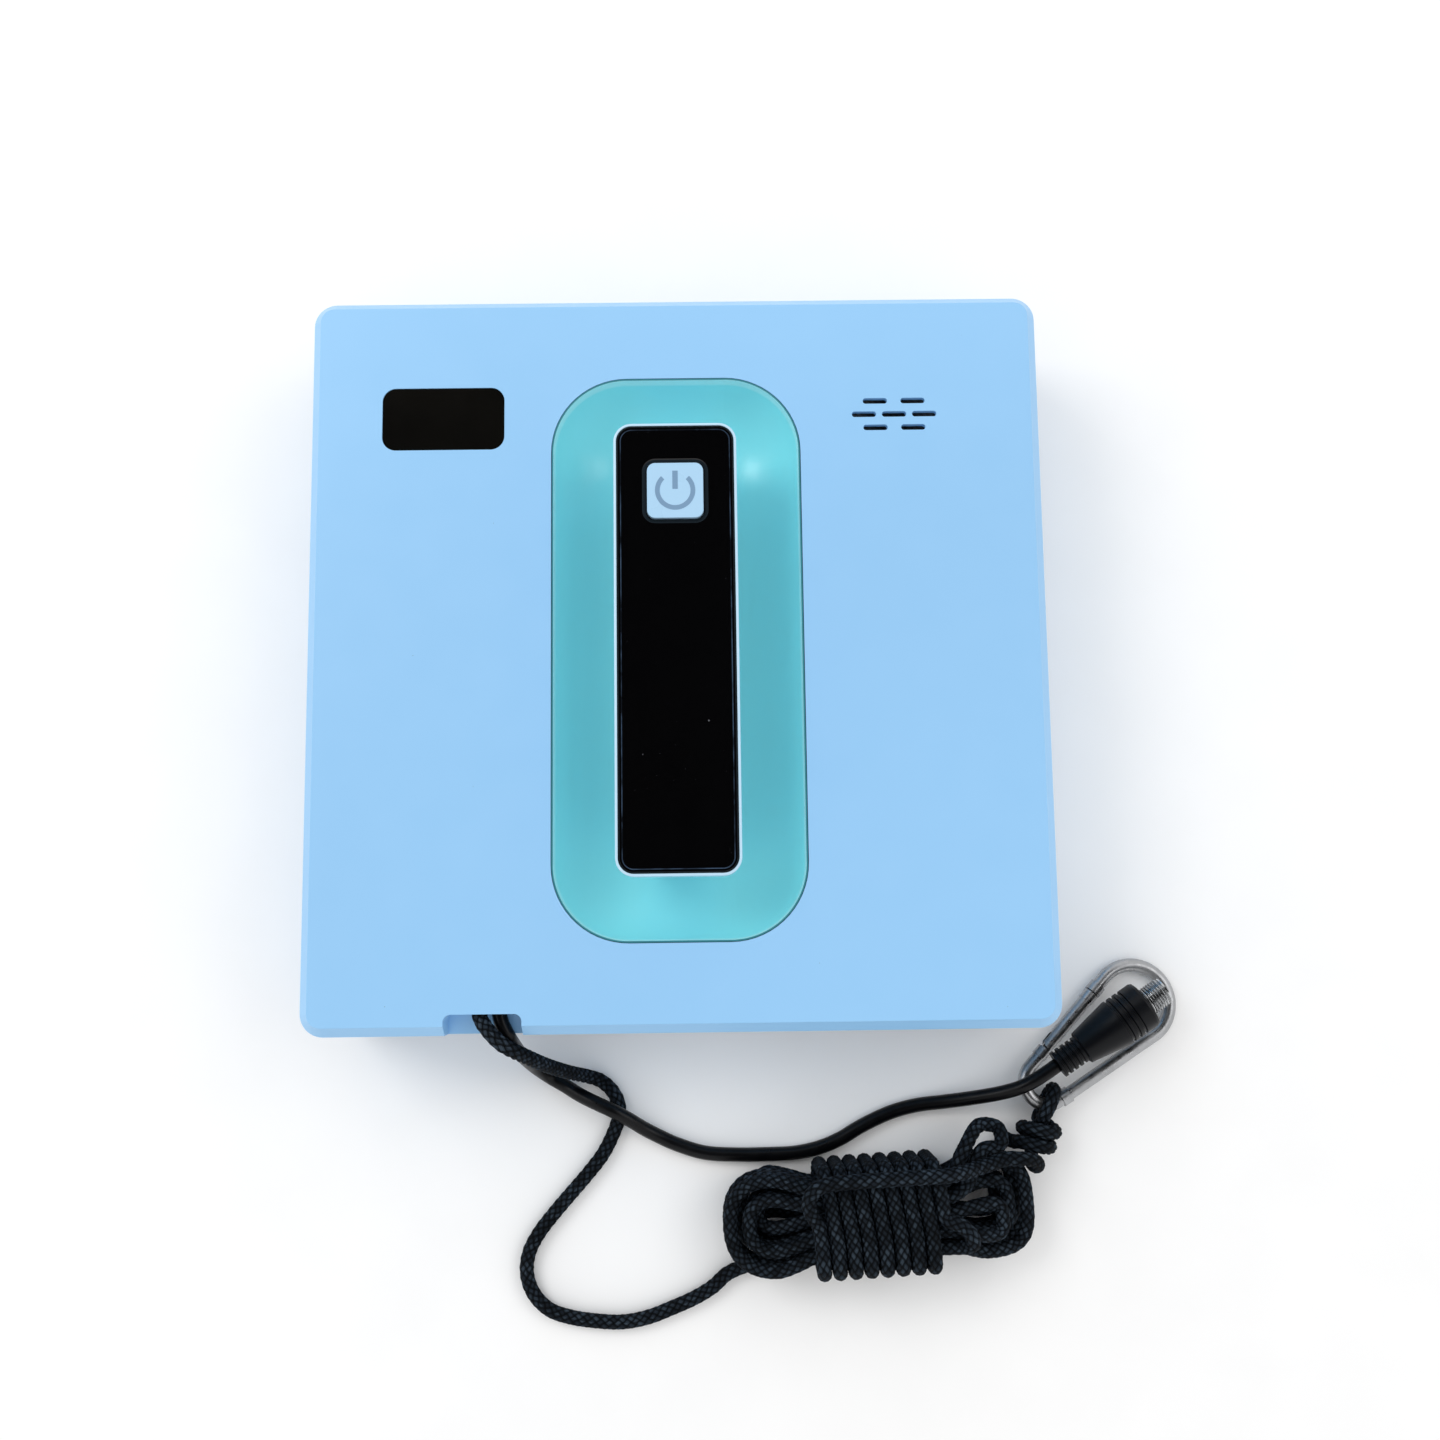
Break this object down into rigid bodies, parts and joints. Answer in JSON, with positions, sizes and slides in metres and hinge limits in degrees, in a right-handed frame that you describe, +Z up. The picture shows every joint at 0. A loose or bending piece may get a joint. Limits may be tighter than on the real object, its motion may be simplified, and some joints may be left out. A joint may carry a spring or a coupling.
{
  "type": "window cleaning robot",
  "caption": "Square window cleaning robot with carry handle, rubber tracks, suction fan and cloth pad, with its power lead and coiled safety rope.",
  "frame": {"origin": "centre of the robot's footprint on the surface it stands on", "axes": "+Z up, away from the surface; the cord notch is in the -Y edge, the power button end is at +Y"},
  "size_m": [0.291, 0.3422, 0.0722],
  "materials": {
    "cover_plastic": "light blue gloss moulding",
    "base_plastic": "light blue gloss moulding",
    "tray_plastic": "teal gloss moulding",
    "handle_plastic": "pale blue gloss moulding",
    "panel_plastic": "piano black",
    "button_plastic": "pale blue",
    "window_plastic": "smoked black",
    "dark_plastic": "fine matt",
    "fan_plastic": "plain",
    "wheel_plastic": "plain",
    "board": "circuit board",
    "cell_wrap": "heat-shrink sleeve",
    "speaker_cone": "paper cone in a dark basket",
    "motor_metal": "plated can",
    "steel": "turned steel",
    "screw_steel": "black zinc",
    "bush_bronze": "sintered bronze",
    "belt_rubber": "moulded rubber",
    "gasket_rubber": "soft rubber",
    "pad_cloth": "microfibre pile",
    "hook_tape": "hook-and-loop tape",
    "rope_braid": "round black braid with blue flecks",
    "lead_jacket": "smooth PVC",
    "connector_plastic": "moulded grip",
    "connector_metal": "nickel plate",
    "hook_steel": "polished steel"
  },
  "bodies": {
    "robot": {"top_cover": "cover_plastic", "base_shell": "base_plastic", "handle_tray": "tray_plastic", "handle_frame": "handle_plastic", "handle_panel": "panel_plastic", "handle_screws": "screw_steel", "button_switch": "steel", "button_board": "board", "indicator_window": "window_plastic", "indicator_board": "board", "speaker": "speaker_cone", "main_board": "board", "battery_cells": "cell_wrap", "battery_holder": "dark_plastic", "fan_housing": "dark_plastic", "fan_cover": "dark_plastic", "fan_motor": "motor_metal", "intake_grille": "dark_plastic", "intake_gasket": "gasket_rubber", "left_gearmotor": "motor_metal", "right_gearmotor": "motor_metal", "left_idler_axle": "steel", "right_idler_axle": "steel", "left_track": "belt_rubber", "right_track": "belt_rubber", "left_track_guide": "dark_plastic", "right_track_guide": "dark_plastic", "shaft_bushes": "bush_bronze", "cleaning_pad": "pad_cloth", "pad_hook_tape": "hook_tape", "edge_pin_sleeves": "dark_plastic", "base_screws": "screw_steel", "cord_clamp": "dark_plastic", "dc_lead": "lead_jacket", "dc_connector_grip": "connector_plastic", "dc_connector_nose": "connector_metal", "rope_lead": "rope_braid", "rope_hank": "rope_braid", "rope_wrap": "rope_braid", "rope_tail": "rope_braid", "rope_knot": "rope_braid", "carabiner_body": "hook_steel", "carabiner_pin": "hook_steel"},
    "button": {"power_button": "button_plastic"},
    "fan_rotor": {"fan_impeller": "fan_plastic", "fan_shaft": "steel"},
    "left_drive": {"left_drive_wheel": "wheel_plastic", "left_drive_shaft": "steel"},
    "right_drive": {"right_drive_wheel": "wheel_plastic", "right_drive_shaft": "steel"},
    "left_idler": {"left_idler_wheel": "wheel_plastic"},
    "right_idler": {"right_idler_wheel": "wheel_plastic"},
    "front_left_pin": {"front_left_edge_pin": "steel"},
    "front_right_pin": {"front_right_edge_pin": "steel"},
    "rear_left_pin": {"rear_left_edge_pin": "steel"},
    "rear_right_pin": {"rear_right_edge_pin": "steel"},
    "hook_gate": {"carabiner_gate": "hook_steel"}
  },
  "joints": [
    {"name": "power_button_slide", "type": "slide", "parent": "robot", "child": "button", "axis": [0, 0, -1], "range_m": [0, 0.0008], "stiffness_N_per_m": 200, "springref_m": -0.0004},
    {"name": "fan_spin", "type": "hinge", "parent": "robot", "child": "fan_rotor", "pos_m": [0, 0, 0.018], "axis": [0, 0, 1], "continuous": true},
    {"name": "left_drive_spin", "type": "hinge", "parent": "robot", "child": "left_drive", "pos_m": [-0.053, 0.044, 0.016], "axis": [1, 0, 0], "continuous": true},
    {"name": "right_drive_spin", "type": "hinge", "parent": "robot", "child": "right_drive", "pos_m": [0.053, 0.044, 0.016], "axis": [1, 0, 0], "continuous": true},
    {"name": "left_idler_spin", "type": "hinge", "parent": "robot", "child": "left_idler", "pos_m": [-0.053, -0.044, 0.016], "axis": [1, 0, 0], "continuous": true},
    {"name": "right_idler_spin", "type": "hinge", "parent": "robot", "child": "right_idler", "pos_m": [0.053, -0.044, 0.016], "axis": [1, 0, 0], "continuous": true},
    {"name": "front_left_pin_slide", "type": "slide", "parent": "robot", "child": "front_left_pin", "axis": [0, 0, -1], "range_m": [0, 0.0022], "stiffness_N_per_m": 30, "springref_m": 0.0022},
    {"name": "front_right_pin_slide", "type": "slide", "parent": "robot", "child": "front_right_pin", "axis": [0, 0, -1], "range_m": [0, 0.0022], "stiffness_N_per_m": 30, "springref_m": 0.0022},
    {"name": "rear_left_pin_slide", "type": "slide", "parent": "robot", "child": "rear_left_pin", "axis": [0, 0, -1], "range_m": [0, 0.0022], "stiffness_N_per_m": 30, "springref_m": 0.0022},
    {"name": "rear_right_pin_slide", "type": "slide", "parent": "robot", "child": "rear_right_pin", "axis": [0, 0, -1], "range_m": [0, 0.0022], "stiffness_N_per_m": 30, "springref_m": 0.0022},
    {"name": "hook_gate_hinge", "type": "hinge", "parent": "robot", "child": "hook_gate", "pos_m": [0.12577, -0.12885, 0.00641], "axis": [-0.0703, -0.0572, -0.9959], "range_deg": [0, 28], "stiffness_Nm_per_rad": 0.002, "springref_deg": -5.73}
  ],
  "couplings": [
    {"joint": "left_idler_spin", "follows": "left_drive_spin", "ratio": 1},
    {"joint": "right_idler_spin", "follows": "right_drive_spin", "ratio": 1}
  ]
}
